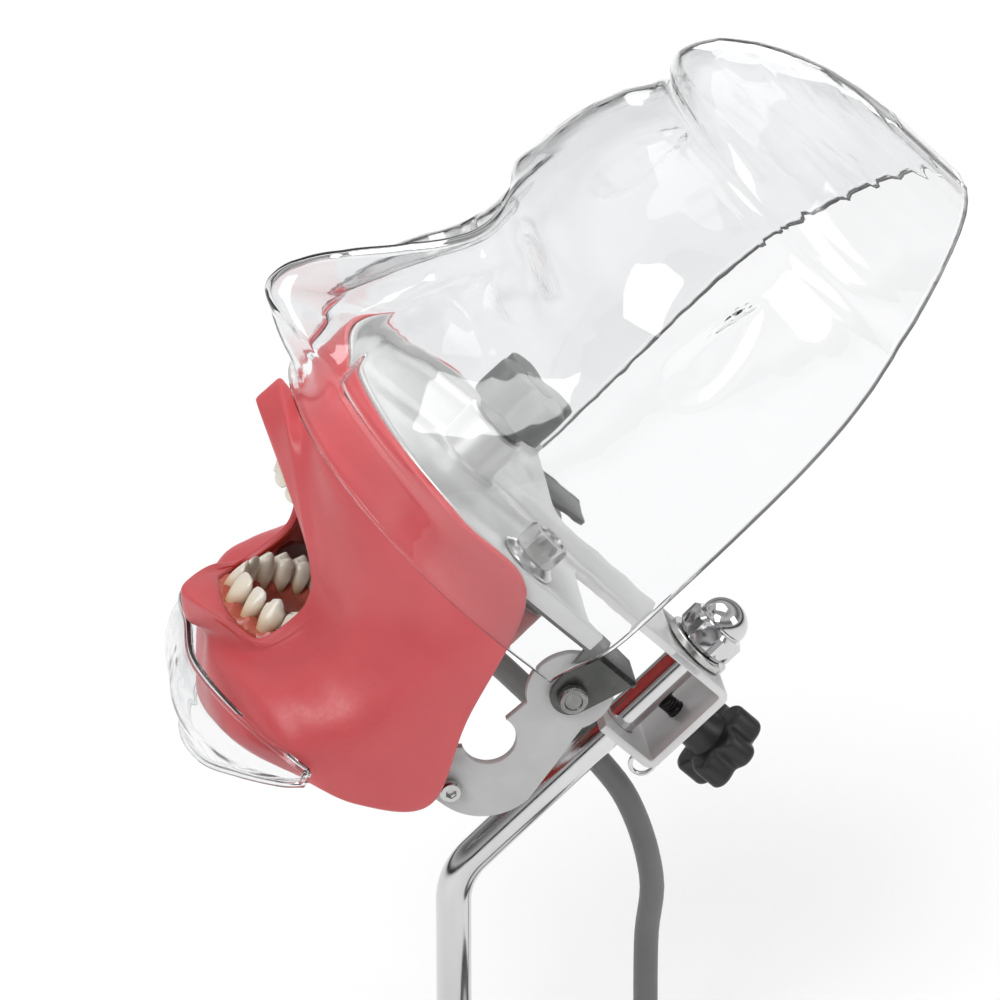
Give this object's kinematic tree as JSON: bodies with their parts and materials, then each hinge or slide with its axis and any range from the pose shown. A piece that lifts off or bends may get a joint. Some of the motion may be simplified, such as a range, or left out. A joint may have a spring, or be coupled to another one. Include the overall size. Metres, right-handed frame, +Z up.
{
  "type": "dental phantom head",
  "caption": "Dental phantom head: a clear face mask and rubber shroud over hinged upper and lower dental arches, on a steel frame clamped to a bent rod, with a drain hose.",
  "frame": {"origin": "centre of the bottom end face of the mounting rod", "axes": "+Z up, the face towards -X, the left side of the head towards -Y; the XZ plane is the head's plane of symmetry"},
  "size_m": [0.2683, 0.172, 0.4112],
  "materials": {
    "chrome": "polished stainless steel",
    "steel": "satin bent sheet and turned fixings",
    "grey_paint": "satin grey paint",
    "dark_steel": "blackened steel",
    "black_plastic": "moulded knob",
    "grey_plastic": "moulded fitting",
    "silicone": "satin silicone",
    "red_silicone": "satin silicone",
    "gum": "soft gum",
    "ivory": "glossy tooth resin",
    "clear": "clear thermoformed sheet",
    "hose": "matt grey hose"
  },
  "bodies": {
    "mount_rod": {"mounting_rod": "chrome", "rod_washer": "steel", "rod_dome_nut": "chrome", "drain_hose": "hose", "drain_hose_coil": "hose"},
    "head": {"maxilla_plate": "steel", "condyle_bracket_left": "dark_steel", "condyle_bracket_right": "dark_steel", "bracket_bolt_left": "steel", "bracket_bolt_right": "steel", "condyle_pin_left": "dark_steel", "condyle_pin_right": "dark_steel", "upper_gum": "gum", "shroud": "silicone", "mouth_bag": "red_silicone", "drain_spout": "grey_plastic", "drain_hose_upper": "hose", "upper_central_incisor_left": "ivory", "upper_lateral_incisor_left": "ivory", "upper_canine_left": "ivory", "upper_first_premolar_left": "ivory", "upper_second_premolar_left": "ivory", "upper_first_molar_left": "ivory", "upper_second_molar_left": "ivory", "upper_central_incisor_right": "ivory", "upper_lateral_incisor_right": "ivory", "upper_canine_right": "ivory", "upper_first_premolar_right": "ivory", "upper_second_premolar_right": "ivory", "upper_first_molar_right": "ivory", "upper_second_molar_right": "ivory"},
    "jaw": {"mandible_side_plate_left": "grey_paint", "mandible_side_plate_right": "grey_paint", "mandible_plate": "steel", "socket_screw_left": "steel", "socket_screw_right": "steel", "lower_gum": "gum", "chin_shield": "clear", "lower_central_incisor_left": "ivory", "lower_lateral_incisor_left": "ivory", "lower_canine_left": "ivory", "lower_first_premolar_left": "ivory", "lower_second_premolar_left": "ivory", "lower_first_molar_left": "ivory", "lower_second_molar_left": "ivory", "lower_central_incisor_right": "ivory", "lower_lateral_incisor_right": "ivory", "lower_canine_right": "ivory", "lower_first_premolar_right": "ivory", "lower_second_premolar_right": "ivory", "lower_first_molar_right": "ivory", "lower_second_molar_right": "ivory"},
    "mask": {"face_mask": "clear"},
    "eye": {"ring_eye": "chrome"},
    "clamp_screw": {"clamp_stud": "dark_steel"},
    "clamp_handle": {"clamp_knob": "black_plastic"},
    "upper_screw": {"upper_fixing_stud": "steel"},
    "upper_handle": {"upper_fixing_knob": "grey_plastic"},
    "lower_screw": {"lower_fixing_stud": "steel"},
    "lower_handle": {"lower_fixing_knob": "grey_plastic"}
  },
  "joints": [
    {"name": "head_swivel", "type": "hinge", "parent": "mount_rod", "child": "head", "pos_m": [0, 0, 0.11], "axis": [0.7071, 0, 0.7071], "range_deg": [-45, 45]},
    {"name": "jaw_hinge", "type": "hinge", "parent": "head", "child": "jaw", "pos_m": [0.03041, 0, 0.21253], "axis": [0, -1, 0], "range_deg": [-18.5, 12], "deforming": ["shroud"]},
    {"name": "mask_lift", "type": "slide", "parent": "head", "child": "mask", "axis": [0.7071, 0, 0.7071], "range_m": [0, 0.05]},
    {"name": "eye_swing", "type": "hinge", "parent": "head", "child": "eye", "pos_m": [0.06435, 0, 0.15313], "axis": [0, 1, 0], "range_deg": [-15, 15]},
    {"name": "clamp_travel", "type": "slide", "parent": "head", "child": "clamp_screw", "axis": [0.7071, 0, -0.7071], "range_m": [0, 0.004]},
    {"name": "clamp_turn", "type": "hinge", "parent": "clamp_screw", "child": "clamp_handle", "pos_m": [0.08768, 0, 0.15526], "axis": [0.7071, 0, -0.7071], "range_deg": [0, 1080]},
    {"name": "upper_fixing_travel", "type": "slide", "parent": "head", "child": "upper_screw", "axis": [0.7071, 0, 0.7071], "range_m": [0, 0.005]},
    {"name": "upper_fixing_turn", "type": "hinge", "parent": "upper_screw", "child": "upper_handle", "pos_m": [0.02263, 0, 0.28536], "axis": [0.7071, 0, 0.7071], "range_deg": [0, 1080]},
    {"name": "lower_fixing_travel", "type": "slide", "parent": "jaw", "child": "lower_screw", "axis": [-0.4384, 0, -0.8988], "range_m": [0, 0.005]},
    {"name": "lower_fixing_turn", "type": "hinge", "parent": "lower_screw", "child": "lower_handle", "pos_m": [-0.04692, 0, 0.16346], "axis": [-0.4384, 0, -0.8988], "range_deg": [0, 1080]}
  ],
  "couplings": [
    {"joint": "clamp_travel", "follows": "clamp_turn", "m_per_rad": 0.00015915},
    {"joint": "upper_fixing_travel", "follows": "upper_fixing_turn", "m_per_rad": 0.00019894},
    {"joint": "lower_fixing_travel", "follows": "lower_fixing_turn", "m_per_rad": 0.00019894}
  ]
}
